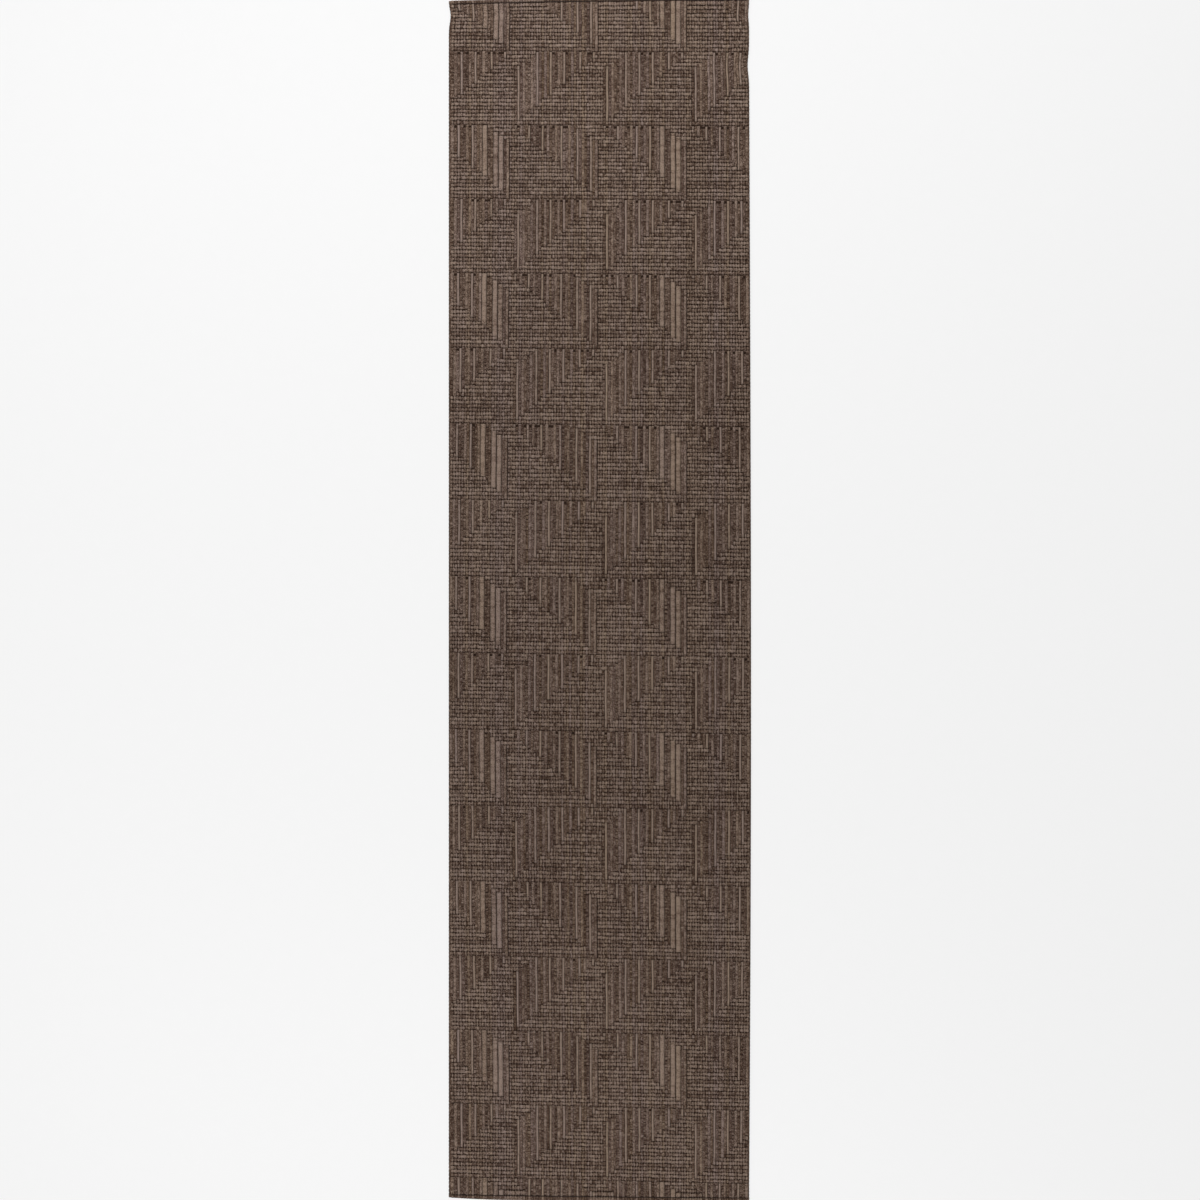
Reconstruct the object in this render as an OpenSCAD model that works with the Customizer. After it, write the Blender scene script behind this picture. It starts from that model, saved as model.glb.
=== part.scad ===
// Flat-woven runner rug, built up from its yarn systems.
// X runs across the width, Y along the length with the head end at +Y, Z up.
// The origin is the centre of the underside, where the rug lies on the floor.

/* [Rug] */
// Width over both selvedges
rug_w = 762; // [640:1:900]
// Length over both end hems
rug_l = 3048; // [2400:1:3600]
// Full thickness, from the floor to the top of the face yarns
rug_t = 9; // [9:0.5:12]

/* [Weave] */
// Warp columns across the width
columns = 111; // [100:1:120]
// Weft rows along the length
rows = 320; // [300:1:340]
// Diameter of the stuffer warps inside the web
stuffer_d = 1.9; // [1.4:0.1:1.9]
// Diameter of the ground weft picks inside the web
pick_d = 1.9; // [1.4:0.1:1.9]
// Diameter of the pattern yarns on the face
face_yarn_d = 1.8; // [1.2:0.1:1.8]

/* [Pattern] */
// Warp columns in one repeat of the pattern
tile_cols = 33; // [30:1:36]
// Weft rows in one band of the pattern
band_rows = 20; // [20:1:22]
// Rows of the first, cut-off band at the head end
head_rows = 14.4; // [6:0.2:18]
// Columns from the left edge to the first repeat in the bands that turn right
right_start = 23.5; // [20:0.5:26]
// Columns from the left edge to the first repeat in the bands that turn left
left_start = 21.8; // [20:0.2:26]

/* [Edges] */
// Outer diameter of the wrapped selvedge
selvedge_d = 7; // [6:0.1:8]
// Diameter of the cord inside the selvedge
cord_d = 4; // [3:0.1:4.4]
// Width of the rolled fold at each end
fold_w = 9; // [9:0.5:12]
// Width of the stitched groove beside the fold
groove_w = 2; // [1.6:0.1:3]
// Width of the web turned under at each end
turn_w = 26; // [20:1:40]

/* [Stitching] */
// Length of one hem stitch with its gap
stitch_pitch = 6; // [5:0.5:9]
// Diameter of the sewing thread
thread_d = 0.9; // [0.6:0.1:1]
// Length of a corner bar tack
tack_l = 10; // [6:1:16]

/* [Label] */
// Width of the blank care label
label_w = 60; // [40:1:80]
// Height of the blank care label
label_h = 34; // [24:1:50]
// Distance from the label's centre to the side edge and to the end
label_in = 90; // [80:5:200]

/* [Hidden] */

DARK_YARN = "#46372e";
LIGHT_YARN = "#76665b";
GROUND_YARN = "#5b4c42";
CORE_YARN = "#b09a7c";
THREAD = "#3a2e27";
LABEL = "#e6e2da";

// Clearance between pieces, and how far a cutter runs past what it cuts
gap = 0.05;
past = 1;
col_p = rug_w / columns;
row_p = rug_l / rows;
tile_w = tile_cols * col_p;
band_l = band_rows * row_p;

// Layers, from the floor up
back_t = 1;
stuffer_z = back_t + gap + stuffer_d / 2;
pick_z = back_t + 2 * gap + stuffer_d + pick_d / 2;
ground_z = back_t + 3 * gap + stuffer_d + pick_d;
ground_top = rug_t - face_yarn_d - gap;
face_z = rug_t - face_yarn_d / 2;

// The woven field, inside the selvedges and the end folds
field_w = rug_w - 2 * (selvedge_d + gap);
field_l = rug_l - 2 * (fold_w + groove_w);
web_l = rug_l - 2 * (fold_w + gap);
back_l = web_l - 2 * (turn_w + gap);

stuffer_count = columns - 2;

// Hem seam: the stitches stop short of both sides and leave gaps between them
stitch_stop = 5;
stitch_count = floor((field_w - 2 * stitch_stop) / stitch_pitch);
stitch_l = stitch_pitch * 0.7;
groove_y = rug_l / 2 - fold_w - groove_w / 2;
bobbin_y = web_l / 2 - turn_w / 2;
bobbin_pocket = 1.2;

// Bar tacks, between the inner edge of the turned-under web and its seam
tack_w = 1.2;
tack_room = 0.4;
tack_x = field_w / 2 - 4;
tack_y = web_l / 2 - turn_w * 0.9;
tack_y_l = min(tack_l, turn_w * 0.4 - 2 * tack_room);

// Label, sunk into the underside and sewn down its two short sides
label_t = 0.3;
label_recess = 0.6;
label_room = 1;
label_stitch_t = 0.15;
label_stitch_w = 0.8;
label_stitch_l = 2.6;
label_stitch_pitch = 4;
label_stitch_in = 3;

// The lines of one repeat: the column where a line comes down, counted from
// the corner side of the repeat, and the row where it turns the corner.
LIGHT_LINES = [[2, 18], [8.5, 14], [13.5, 11], [18.5, 8], [25, 4]];
DARK_LINES = [[5, 16], [11, 12.5], [16, 9.5], [21.5, 6], [27.5, 1.6]];
shortest_float = 6;

band_count = ceil((rows - head_rows) / band_rows);

function band_head(band) = rug_l / 2 - (head_rows + (band - 1) * band_rows) * row_p;
function turns_right(band) = band % 2 == 1;
function repeat_start(band, n) =
    -rug_w / 2 + ((turns_right(band) ? right_start : left_start) + n * tile_cols) * col_p;
function line_x(band, n, column) =
    repeat_start(band, n) + (turns_right(band) ? column : tile_cols - column) * col_p;
function row_y(band, row) = band_head(band) - row * row_p;
function keep_in(value, half) = max(-half, min(half, value));

module warp_yarn(x, y_low, y_high, d, z) {
    translate([x, y_low, z])
        rotate([-90, 0, 0])
            cylinder(h = y_high - y_low, d = d, $fn = 16);
}

module weft_yarn(y, x_low, x_high, d, z) {
    translate([x_low, y, z])
        rotate([0, 90, 0])
            cylinder(h = x_high - x_low, d = d, $fn = 16);
}

// Floats that come down the length, from the head of each band to their corner
module warp_floats(lines) {
    for (band = [0 : band_count], n = [-1 : 2], line = lines) {
        x = line_x(band, n, line[0]);
        y_high = keep_in(band_head(band) - gap, field_l / 2);
        y_low = keep_in(row_y(band, line[1]), field_l / 2);
        inside = abs(x) < (field_w - face_yarn_d) / 2;
        if (inside && y_high - y_low > shortest_float)
            warp_yarn(x, y_low, y_high, face_yarn_d, face_z);
    }
}

// Rows that run across, from the corner of each line to the far side of its repeat
module weft_rows(lines) {
    for (band = [0 : band_count], n = [-1 : 2], line = lines) {
        y = row_y(band, line[1]) - face_yarn_d;
        corner = line_x(band, n, line[0]);
        far_side = line_x(band, n, tile_cols);
        x_low = keep_in(min(corner, far_side) + gap, field_w / 2);
        x_high = keep_in(max(corner, far_side) - gap, field_w / 2);
        inside = abs(y) < (field_l - face_yarn_d) / 2;
        if (inside && x_high - x_low > shortest_float)
            weft_yarn(y, x_low, x_high, face_yarn_d, face_z);
    }
}

module at_end(side) {
    mirror([0, side < 0 ? 1 : 0, 0]) children();
}

module label_place() {
    translate([rug_w / 2 - label_in, -(rug_l / 2 - label_in), 0]) children();
}

// Underside of the web between the turned-under ends, with the label's recess
module back_weave() {
    color(GROUND_YARN)
        difference() {
            translate([-field_w / 2, -back_l / 2, 0]) cube([field_w, back_l, back_t]);
            label_place()
                translate([-label_w / 2 - label_room, -label_h / 2 - label_room, -past])
                    cube([label_w + 2 * label_room, label_h + 2 * label_room, past + label_recess]);
        }
}

// Stiff yarns along the length that give the rug its body
module stuffer_warps() {
    color(CORE_YARN)
        for (i = [0 : stuffer_count - 1])
            warp_yarn((i - (stuffer_count - 1) / 2) * (field_w - stuffer_d) / stuffer_count,
                      -web_l / 2, web_l / 2, stuffer_d, stuffer_z);
}

// Ground picks across the width, one for each row of the weave
module weft_picks() {
    pitch = (web_l - pick_d) / (rows - 1);
    color(CORE_YARN)
        for (i = [0 : rows - 1])
            weft_yarn((i - (rows - 1) / 2) * pitch, -field_w / 2, field_w / 2, pick_d, pick_z);
}

// Dense ground of the face, which the pattern yarns lie on
module face_ground() {
    color(GROUND_YARN)
        translate([-field_w / 2, -field_l / 2, ground_z])
            cube([field_w, field_l, ground_top - ground_z]);
}

module light_warp_floats() {
    color(LIGHT_YARN) warp_floats(LIGHT_LINES);
}

module dark_warp_floats() {
    color(DARK_YARN) warp_floats(DARK_LINES);
}

module light_weft_rows() {
    color(LIGHT_YARN) weft_rows(LIGHT_LINES);
}

module dark_weft_rows() {
    color(DARK_YARN) weft_rows(DARK_LINES);
}

// Cord that the ground picks turn round at a side edge
module selvedge_cord(side) {
    color(CORE_YARN)
        warp_yarn(side * (rug_w - selvedge_d) / 2, -web_l / 2, web_l / 2, cord_d, rug_t / 2);
}

// Yarn wrapped over the selvedge cord, as one sleeve
module selvedge_binding(side) {
    x = side * (rug_w - selvedge_d) / 2;
    color(GROUND_YARN)
        difference() {
            warp_yarn(x, -web_l / 2, web_l / 2, selvedge_d, rug_t / 2);
            warp_yarn(x, -web_l / 2 - past, web_l / 2 + past, cord_d + 2 * gap, rug_t / 2);
        }
}

// End of the web rolled over on itself: a bar with a round nose
module hem_fold(side) {
    nose_r = rug_t / 2;
    color(GROUND_YARN)
        at_end(side)
            translate([-rug_w / 2, 0, 0])
                rotate([90, 0, 90])
                    linear_extrude(height = rug_w)
                        union() {
                            translate([rug_l / 2 - fold_w, 0]) square([fold_w - nose_r, rug_t]);
                            translate([rug_l / 2 - nose_r, nose_r]) circle(r = nose_r, $fn = 48);
                        }
}

// Web turned under the end, flush with the underside, with its stitch groove
// and a pocket for the bar tack at each corner
module hem_web(side) {
    color(GROUND_YARN)
        at_end(side)
            difference() {
                translate([-field_w / 2, web_l / 2 - turn_w, 0]) cube([field_w, turn_w, back_t]);
                translate([-field_w / 2 - past, bobbin_y - bobbin_pocket / 2, -past])
                    cube([field_w + 2 * past, bobbin_pocket, past + thread_d / 2 + gap]);
                for (edge = [-1, 1])
                    translate([edge * tack_x - tack_w / 2 - tack_room, tack_y - tack_room, -past])
                        cube([tack_w + 2 * tack_room, tack_y_l + 2 * tack_room, past + back_t / 2]);
            }
}

// Needle thread of the hem seam, lying in the groove beside the fold
module needle_stitches(side) {
    color(THREAD)
        at_end(side)
            for (i = [0 : stitch_count - 1]) {
                x = (i - (stitch_count - 1) / 2) * stitch_pitch;
                weft_yarn(groove_y, x - stitch_l / 2, x + stitch_l / 2, thread_d,
                          ground_z + thread_d / 2);
            }
}

// Bobbin thread of the hem seam, in the groove of the turned-under web
module bobbin_stitches(side) {
    color(THREAD)
        at_end(side)
            for (i = [0 : stitch_count - 1]) {
                x = (i - (stitch_count - 1) / 2) * stitch_pitch;
                translate([x - stitch_l / 2, bobbin_y - thread_d / 2, gap])
                    cube([stitch_l, thread_d, thread_d / 2 - gap]);
            }
}

// Bar tacks that close the turned-under corners
module corner_tacks() {
    color(THREAD)
        for (side = [-1, 1], edge = [-1, 1])
            at_end(side)
                translate([edge * tack_x - tack_w / 2, tack_y, gap])
                    cube([tack_w, tack_y_l, back_t / 2 - 2 * gap]);
}

// Blank woven label in its recess on the underside
module care_label() {
    color(LABEL)
        label_place()
            translate([-label_w / 2, -label_h / 2, label_stitch_t])
                cube([label_w, label_h, label_t]);
}

// Stitches that hold the label's two short sides
module label_stitches() {
    count = floor(label_h / label_stitch_pitch);
    color(THREAD)
        label_place()
            for (edge = [-1, 1], i = [0 : count - 1]) {
                x = edge * (label_w / 2 - label_stitch_in);
                y = (i - (count - 1) / 2) * label_stitch_pitch;
                translate([x - label_stitch_w / 2, y - label_stitch_l / 2, 0])
                    cube([label_stitch_w, label_stitch_l, label_stitch_t]);
            }
}

back_weave();
stuffer_warps();
weft_picks();
face_ground();
light_warp_floats();
dark_warp_floats();
light_weft_rows();
dark_weft_rows();
selvedge_cord(-1);  // selvedge_cord_left
selvedge_cord(1);  // selvedge_cord_right
selvedge_binding(-1);  // selvedge_binding_left
selvedge_binding(1);  // selvedge_binding_right
hem_fold(1);  // hem_fold_head
hem_fold(-1);  // hem_fold_foot
hem_web(1);  // hem_web_head
hem_web(-1);  // hem_web_foot
needle_stitches(1);  // needle_stitches_head
needle_stitches(-1);  // needle_stitches_foot
bobbin_stitches(1);  // bobbin_stitches_head
bobbin_stitches(-1);  // bobbin_stitches_foot
corner_tacks();
care_label();
label_stitches();
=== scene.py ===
import bpy
import numpy as np
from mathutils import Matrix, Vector


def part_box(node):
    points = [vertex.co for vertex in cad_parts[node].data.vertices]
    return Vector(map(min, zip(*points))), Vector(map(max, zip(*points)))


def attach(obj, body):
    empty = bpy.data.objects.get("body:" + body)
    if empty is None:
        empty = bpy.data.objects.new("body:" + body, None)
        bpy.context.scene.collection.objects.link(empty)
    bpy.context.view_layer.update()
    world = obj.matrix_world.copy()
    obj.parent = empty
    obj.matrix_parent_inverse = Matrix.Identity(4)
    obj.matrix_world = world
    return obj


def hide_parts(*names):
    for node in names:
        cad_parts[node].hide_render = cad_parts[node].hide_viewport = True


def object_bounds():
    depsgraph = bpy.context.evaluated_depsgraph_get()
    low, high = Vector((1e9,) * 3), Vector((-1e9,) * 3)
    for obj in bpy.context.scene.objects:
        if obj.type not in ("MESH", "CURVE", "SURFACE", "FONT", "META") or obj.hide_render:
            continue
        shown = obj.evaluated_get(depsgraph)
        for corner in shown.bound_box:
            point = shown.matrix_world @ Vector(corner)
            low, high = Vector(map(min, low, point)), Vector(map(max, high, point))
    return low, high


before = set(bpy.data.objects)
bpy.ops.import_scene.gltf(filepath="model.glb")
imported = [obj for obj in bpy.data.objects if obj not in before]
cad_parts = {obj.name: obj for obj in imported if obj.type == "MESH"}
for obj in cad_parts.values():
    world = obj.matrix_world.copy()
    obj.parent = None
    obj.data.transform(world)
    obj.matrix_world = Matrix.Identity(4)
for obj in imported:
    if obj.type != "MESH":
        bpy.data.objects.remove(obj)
cad_low, cad_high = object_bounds()


def extent(node, axis):
    """A CAD node's size along one axis: 0 for X, 1 for Y, 2 for Z."""
    low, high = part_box(node)
    return high[axis] - low[axis]


# ---------------------------------------------------------------------------
# Sizes, in metres. The rug lies on the floor with its length along Y, the head
# end at +Y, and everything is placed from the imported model's own boxes.
# ---------------------------------------------------------------------------
WIDTH = cad_high.x - cad_low.x
LENGTH = cad_high.y - cad_low.y
THICK = cad_high.z - cad_low.z

# The width is COLUMNS_WIDE columns of yarn and the length ROWS_LONG rows. The
# face shows FIRST_COLUMN to LAST_COLUMN, and ROWS rows that start HEAD_MARGIN
# from the head end.
COLUMNS_WIDE, FIRST_COLUMN, LAST_COLUMN = 111, 1, 110
ROWS_LONG, ROWS = 320, 317
COLUMN = WIDTH / COLUMNS_WIDE
ROW = LENGTH / ROWS_LONG
HEAD_MARGIN = 0.0136

# The depth of a hem and of the web turned under it, the top of the web under
# the face yarns, how deep they sink into it, and the width of a selvedge.
HEM = extent("hem_fold_head", 1)
TURN = extent("hem_web_head", 1)
GROUND_LIFT = 0.0002
GROUND_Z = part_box("face_ground")[0].z + GROUND_LIFT
YARN_SUNK = 0.0006
EDGE = 0.0056

# The weave's draft. Every band of the pattern is BAND rows long and repeats
# every TILE columns. In one half of a repeat the warp yarns float down the
# length, and in the other half they bind in rows across the width. A letter
# is a yarn's shade: L light, W light and wide, w the second column of a wide
# one, m medium, g ground, D dark.
TILE, BAND, HEAD_ROWS = 33, 20, 13
RIGHT_FIRST, LEFT_LAST = 24, 87
DRAFT_RIGHT = "DLgmgDmgLgDmgLgDmgLgDmDgLgmgDLgmg"
DRAFT_LEFT = "mgLDDmgLgDmgDLDmgDmDLgDmDLgDmDLgD"
DRAFT_LEFT_WIDE = "mgwWwWgDwWmgDLgmDgLgmgDmgLgDmgLgD"
ROW_DRAFT = "mmgLLggLLgLLgLLggLLg"
FIRST_BAND = HEAD_MARGIN + HEAD_ROWS * ROW

# Where floating yarns turn into rows. The corner starts at the far side of the
# repeat at the head of a band and reaches the near side at its foot. At the
# near side a few columns go on binding from the band before.
CORNER_ROW, CORNER_SHIFT = 0.7, 0.4
CARRIED_COLUMNS, CARRIED_LESS, CARRIED_ROW = 8.5, 2, 0.5

# Each shade's place between the darkest and the lightest yarn; a rib's height,
# half width in columns, and how far it dips at each row; a bead's height and
# half length in rows.
SHADE = {"D": 0.39, "g": 0.41, "m": 0.62, "L": 1.08, "W": 0.87}
RIB_HEIGHT = {"D": 0.0028, "g": 0.0031, "m": 0.0034, "L": 0.0038, "W": 0.0037}
RIB_HALF = {"D": 0.60, "g": 0.62, "m": 0.60, "L": 0.44, "W": 0.98}
RIB_DIP = {"D": 1.20, "g": 0.65, "m": 0.25, "L": 0.10, "W": 0.08}
BEAD_SHADE = {"g": 0.61, "m": 0.77, "L": 0.78}
BEAD_HEIGHT = {"g": 0.0031, "m": 0.0034, "L": 0.0036}
BEAD_HALF = {"g": 0.505, "m": 0.51, "L": 0.515}
DARK_KINDS, LIGHT_KINDS = "gD", "LW"

rng = np.random.default_rng(7)


# ---------------------------------------------------------------------------
# How the straight cloth lies on the floor. All shifts are in metres.
# ---------------------------------------------------------------------------
BANDS_LONG = 15
CREEP_WAVE, CREEP_SAG, CREEP_LEAN = 0.0094, -0.0034, 0.0022
LEFT_RISE, LEFT_START = 0.0135, -0.0020
RIGHT_DROP, RIGHT_DROP_AT_FOOT, DROP_POWER = 0.0052, 0.0045, 6

SWELL, SWELL_START = 0.0048, -0.0025
SWAY_LEFT, SWAY_WAVE, SWAY_WAVE_LESS = 0.0016, 0.0050, 0.0062
SWAY_POWER, WAVE_POWER, EDGE_POWER, HELD_SHARE = 3, 1.2, 8, 0.02

# Pinches of the edges: depth, distance from the head end, half length.
LEFT_PINCH = (0.0044, 0.046, 0.026)
LEFT_INWARD = 0.0010
RIGHT_PINCHES = ((0.0038, 0.172, 0.032), (0.0020, 0.045, 0.022))

# The hems' grooves and outer edges: shift at the right side, what the left side
# adds to it, and how sharply that grows towards the left.
HEAD_GROOVE, HEAD_END = (0.0012, -0.0112, 2), (0.0012, -0.0115, 2)
FOOT_GROOVE, FOOT_END = (-0.0022, 0.0078, 1.5), (-0.0005, 0.0085, 7)
HEM_FADE = 0.035


def row_shift(left, right, down):
    """How far the rows move along Y: they creep in a wave and run askew."""
    creep = CREEP_WAVE * np.sin(2 * np.pi * down) + CREEP_SAG * np.sin(np.pi * down)
    creep += CREEP_LEAN * np.cos(np.pi * down)
    rise = LEFT_RISE * np.sin(np.pi / 2 * down) + LEFT_START
    drop = RIGHT_DROP + RIGHT_DROP_AT_FOOT * down**DROP_POWER
    return creep + rise * left - drop * right


def column_shift(left, right, down):
    """How far the columns move along X: they sway between the edges, which hold
    them, and the right edge swells in the middle of the length."""
    held = (1 - np.exp(-right / HELD_SHARE)) * (1 - np.exp(-left / HELD_SHARE))
    swell = SWELL * np.sin(np.pi * down**WAVE_POWER) + SWELL_START
    wave = (SWAY_WAVE - SWAY_WAVE_LESS * right) * np.cos(2 * np.pi * down**WAVE_POWER)
    sway = SWAY_LEFT * left**SWAY_POWER + wave
    return swell * right**EDGE_POWER + sway * held


def dent(from_head, depth, centre, half):
    return depth * np.exp(-(((from_head - centre) / half) ** 2))


def pinch(left, right, from_head):
    """How far the edges are drawn in along X near the head."""
    shift = (dent(from_head, *LEFT_PINCH) - LEFT_INWARD) * left**EDGE_POWER
    for right_pinch in RIGHT_PINCHES:
        shift -= dent(from_head, *right_pinch) * right**EDGE_POWER
    return shift


def askew(left, line):
    """A hem line's shift along Y, from one of the triples above."""
    start, more, power = line
    return start + more * left**power


def hem_shift(left, from_end, groove, end):
    """How far an end moves along Y, and how much of that each point follows."""
    at_groove, at_end = askew(left, groove), askew(left, end)
    past = np.clip(1 - from_end / HEM, 0, 1)
    follows = np.exp(-np.maximum(from_end - HEM, 0) / HEM_FADE)
    return at_groove + (at_end - at_groove) * past, follows


def settle(points):
    """Moves points of the straight cloth to where it really lies. The rows run
    askew and creep along the length, the columns sway, the right edge swells in
    the middle, the edges are pinched near the head, and the hems aren't quite
    square."""
    x, y = points[:, 0], points[:, 1]
    right = np.clip(x / WIDTH + 0.5, 0, 1)
    left = 1 - right
    from_head, from_foot = LENGTH / 2 - y, LENGTH / 2 + y
    down = np.clip((from_head - FIRST_BAND) / (BANDS_LONG * BAND * ROW), 0, 1)
    head_hem, at_head = hem_shift(left, from_head, HEAD_GROOVE, HEAD_END)
    foot_hem, at_foot = hem_shift(left, from_foot, FOOT_GROOVE, FOOT_END)
    rows = row_shift(left, right, down) * (1 - at_head - at_foot)
    moved = points.copy()
    moved[:, 0] = x + column_shift(left, right, down) + pinch(left, right, from_head)
    moved[:, 1] = y + rows + head_hem * at_head + foot_hem * at_foot
    return moved


def column_x(column):
    return -WIDTH / 2 + column * COLUMN


def row_y(row):
    """Y of the head side of a row, counted from the head; halves are centres."""
    return LENGTH / 2 - HEAD_MARGIN - row * ROW


# ---------------------------------------------------------------------------
# The cell map: for each row and column, whether the yarn binds in a row there,
# and its shade
# ---------------------------------------------------------------------------
def floating_shade(right, tile, place):
    """The draft's letter for a column that floats, in a band that turns right or
    left, from its repeat and its place in the repeat."""
    if right:
        return DRAFT_RIGHT[place]
    if tile % 2 == 0:
        return DRAFT_LEFT_WIDE[place]
    return DRAFT_LEFT[place]


def cell_map():
    columns = np.arange(LAST_COLUMN + 1)
    bound = np.zeros((ROWS, len(columns)), bool)
    shade = np.full((ROWS, len(columns)), "g")
    for row in range(ROWS):
        band, step = divmod(row - HEAD_ROWS + BAND, BAND)
        right = band % 2 == 1
        ahead = columns - RIGHT_FIRST if right else LEFT_LAST - columns
        tile, place = np.divmod(ahead, TILE)
        corner = TILE * (1 - (step + CORNER_ROW) / BAND) - CORNER_SHIFT
        still_bound = CARRIED_COLUMNS - CARRIED_LESS * (step + CARRIED_ROW)
        bound[row] = (place > corner) | (place + CORNER_SHIFT < still_bound)
        for column in columns:
            if bound[row, column]:
                shade[row, column] = ROW_DRAFT[step]
            else:
                shade[row, column] = floating_shade(right, tile[column], place[column])
        # Where the first column of a wide rib binds, its second one does too.
        for column in columns[1:]:
            if shade[row, column] == "w" and bound[row, column - 1]:
                bound[row, column] = True
                shade[row, column] = ROW_DRAFT[step]
    return bound, shade


def runs(values):
    """(first, last + 1) of each stretch of equal values."""
    cuts = np.flatnonzero(values[1:] != values[:-1]) + 1
    edges = [0, *cuts.tolist(), len(values)]
    return list(zip(edges[:-1], edges[1:]))


# ---------------------------------------------------------------------------
# Mesh making
# ---------------------------------------------------------------------------
def mesh_object(name, points, loops, sizes, layers=None):
    """An object from arrays: points, the vertices of each face one after another,
    and how many each face has. layers are named numbers, one for each vertex."""
    mesh = bpy.data.meshes.new(name)
    mesh.vertices.add(len(points))
    mesh.vertices.foreach_set("co", np.ascontiguousarray(points, np.float32).ravel())
    mesh.loops.add(len(loops))
    mesh.loops.foreach_set("vertex_index", np.asarray(loops, np.int32))
    mesh.polygons.add(len(sizes))
    starts = np.concatenate([[0], np.cumsum(sizes)[:-1]])
    mesh.polygons.foreach_set("loop_start", starts.astype(np.int32))
    mesh.polygons.foreach_set("use_smooth", np.ones(len(sizes), bool))
    mesh.update(calc_edges=True)
    for layer, values in (layers or {}).items():
        attribute = mesh.attributes.new(layer, "FLOAT", "POINT")
        attribute.data.foreach_set("value", np.asarray(values, np.float32))
    made = bpy.data.objects.new(name, mesh)
    bpy.context.scene.collection.objects.link(made)
    return made


def closed_sheet(name, x, y, top, bottom, layers=None):
    """A sheet over a grid of x and y, closed round its rim. The grid's rows run
    from +Y to -Y, and top and bottom are its heights on both sides."""
    rows, columns = x.shape
    count = rows * columns
    upper = np.arange(count).reshape(rows, columns)
    lower = upper + count
    up = np.stack([upper[:-1, :-1], upper[1:, :-1], upper[1:, 1:], upper[:-1, 1:]], -1)
    down = np.stack([lower[:-1, :-1], lower[:-1, 1:], lower[1:, 1:], lower[1:, :-1]], -1)
    rim = np.concatenate([upper[0, :-1], upper[:-1, -1], upper[-1, :0:-1], upper[:0:-1, 0]])
    ahead = np.roll(rim, -1)
    side = np.stack([rim, ahead, ahead + count, rim + count], -1)
    loops = np.concatenate([up.ravel(), down.ravel(), side.ravel()])
    both = [np.stack([x, y, z], -1).reshape(-1, 3) for z in (top, bottom)]
    points = settle(np.concatenate(both))
    return mesh_object(name, points, loops, np.full(len(loops) // 4, 4), layers)


class Strands:
    """Gathers closed strands, each a row of rings with the same number of points,
    and makes them one object."""

    def __init__(self, ring):
        self.ring = ring
        self.points, self.loops, self.sizes = [], [], []
        self.shades, self.tints = [], []
        self.count = 0

    def add(self, x, y, z, shade, tint):
        """One strand. What differs between its rings runs down the first axis of
        an array, and what differs round a ring runs along the second."""
        rings = np.stack(np.broadcast_arrays(x, y, z), axis=-1)
        n, k = rings.shape[:2]
        first = self.count + np.arange(n * k).reshape(n, k)
        side = np.roll(first, -1, axis=1)
        quads = np.stack([first[:-1], side[:-1], side[1:], first[1:]], axis=-1)
        self.points.append(rings.reshape(-1, 3))
        self.loops += [quads.ravel(), first[0, ::-1], first[-1]]
        self.sizes += [np.full((n - 1) * k, 4), np.array([k, k])]
        self.shades.append(np.broadcast_to(shade, (n, k)).ravel())
        self.tints.append(np.broadcast_to(tint, (n, k)).ravel())
        self.count += n * k

    def make(self, name):
        layers = {"shade": np.concatenate(self.shades), "tint": np.concatenate(self.tints)}
        points = settle(np.concatenate(self.points))
        loops, sizes = np.concatenate(self.loops), np.concatenate(self.sizes)
        return mesh_object(name, points, loops, sizes, layers)


def arch(ring, power):
    """Across and up of an arched strand's ring; a low power gives a flat top."""
    u = np.linspace(-1, 1, ring)
    return u, (1 - u * u) ** power


def oval(ring, half_across, half_up, power=1.0):
    """Across and up of a round strand's ring; a low power makes it squarer."""
    turn = np.linspace(0, 2 * np.pi, ring, endpoint=False)
    across = -np.sign(np.cos(turn)) * np.abs(np.cos(turn)) ** power
    up = np.sign(np.sin(turn)) * np.abs(np.sin(turn)) ** power
    return across * half_across, up * half_up


# ---------------------------------------------------------------------------
# The yarns of the face
# ---------------------------------------------------------------------------
# A rib: points round a ring, where its rings stand in each row, how much they
# vary, how far in from an end the full rings begin and the share of its height
# at the end itself, the same shares over a hole, how flat its top is, the width
# that its height doesn't change, how it sways, and how its tone varies.
RIB_RING = 7
DARK_STOPS, LIGHT_STOPS = (0, 0.28, 0.72), (0, 0.5)
DIP_RANGE, FULL_RANGE = (0.35, 1.15), (0.9, 1.05)
RIB_END, RIB_END_HEIGHT = 0.0012, 0.1
HOLE_HEIGHTS = (0.55, -0.2, 0.1, 0.9)
RIB_TOP = 0.6
THIN_WIDTH = 0.85
RIB_SWAY, SWAY_PER_Y, SWAY_PER_X = 0.00025, 61, 400
RIB_TONE, RIB_RING_TONE = 0.06, 0.14

# A row of beads: points round a ring, rings for each bead, how much the gaps'
# places and the beads' sizes vary, how high the gaps and the row's ends are,
# the width that a bead's size doesn't change, how wide the gaps, the beads and
# an end left open are, how far the first and the last row stand out towards
# the foot, how flat the top is, how the row waves, how its tone varies, and the
# painted shade in the gaps between beads, darkest on their sides.
BEAD_RING = 5
RINGS_PER_BEAD = 3
GAP_SPREAD, SIZE_SPREAD = 0.12, 0.12
GAP_RANGE, ROW_END_HEIGHT = (0.0, 0.70), 0.2
FIXED_WIDTH = 0.6
GAP_WIDTH, BEAD_WIDTH = 0.88, 1.06
OPEN_END_WIDTHS = (0.3, 0.7)
FIRST_ROW_OUT, LAST_ROW_OUT = -0.12, 0.28
BEAD_TOP = 0.5
ROW_WAVE, WAVE_PER_X, BEAD_SPREAD = 0.0003, 97, 0.04
BEAD_TONE, BEAD_RING_TONE = 0.08, 0.18
GAP_SHADE, GAP_SIDES_SHADE = 0.16, 0.42


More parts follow.
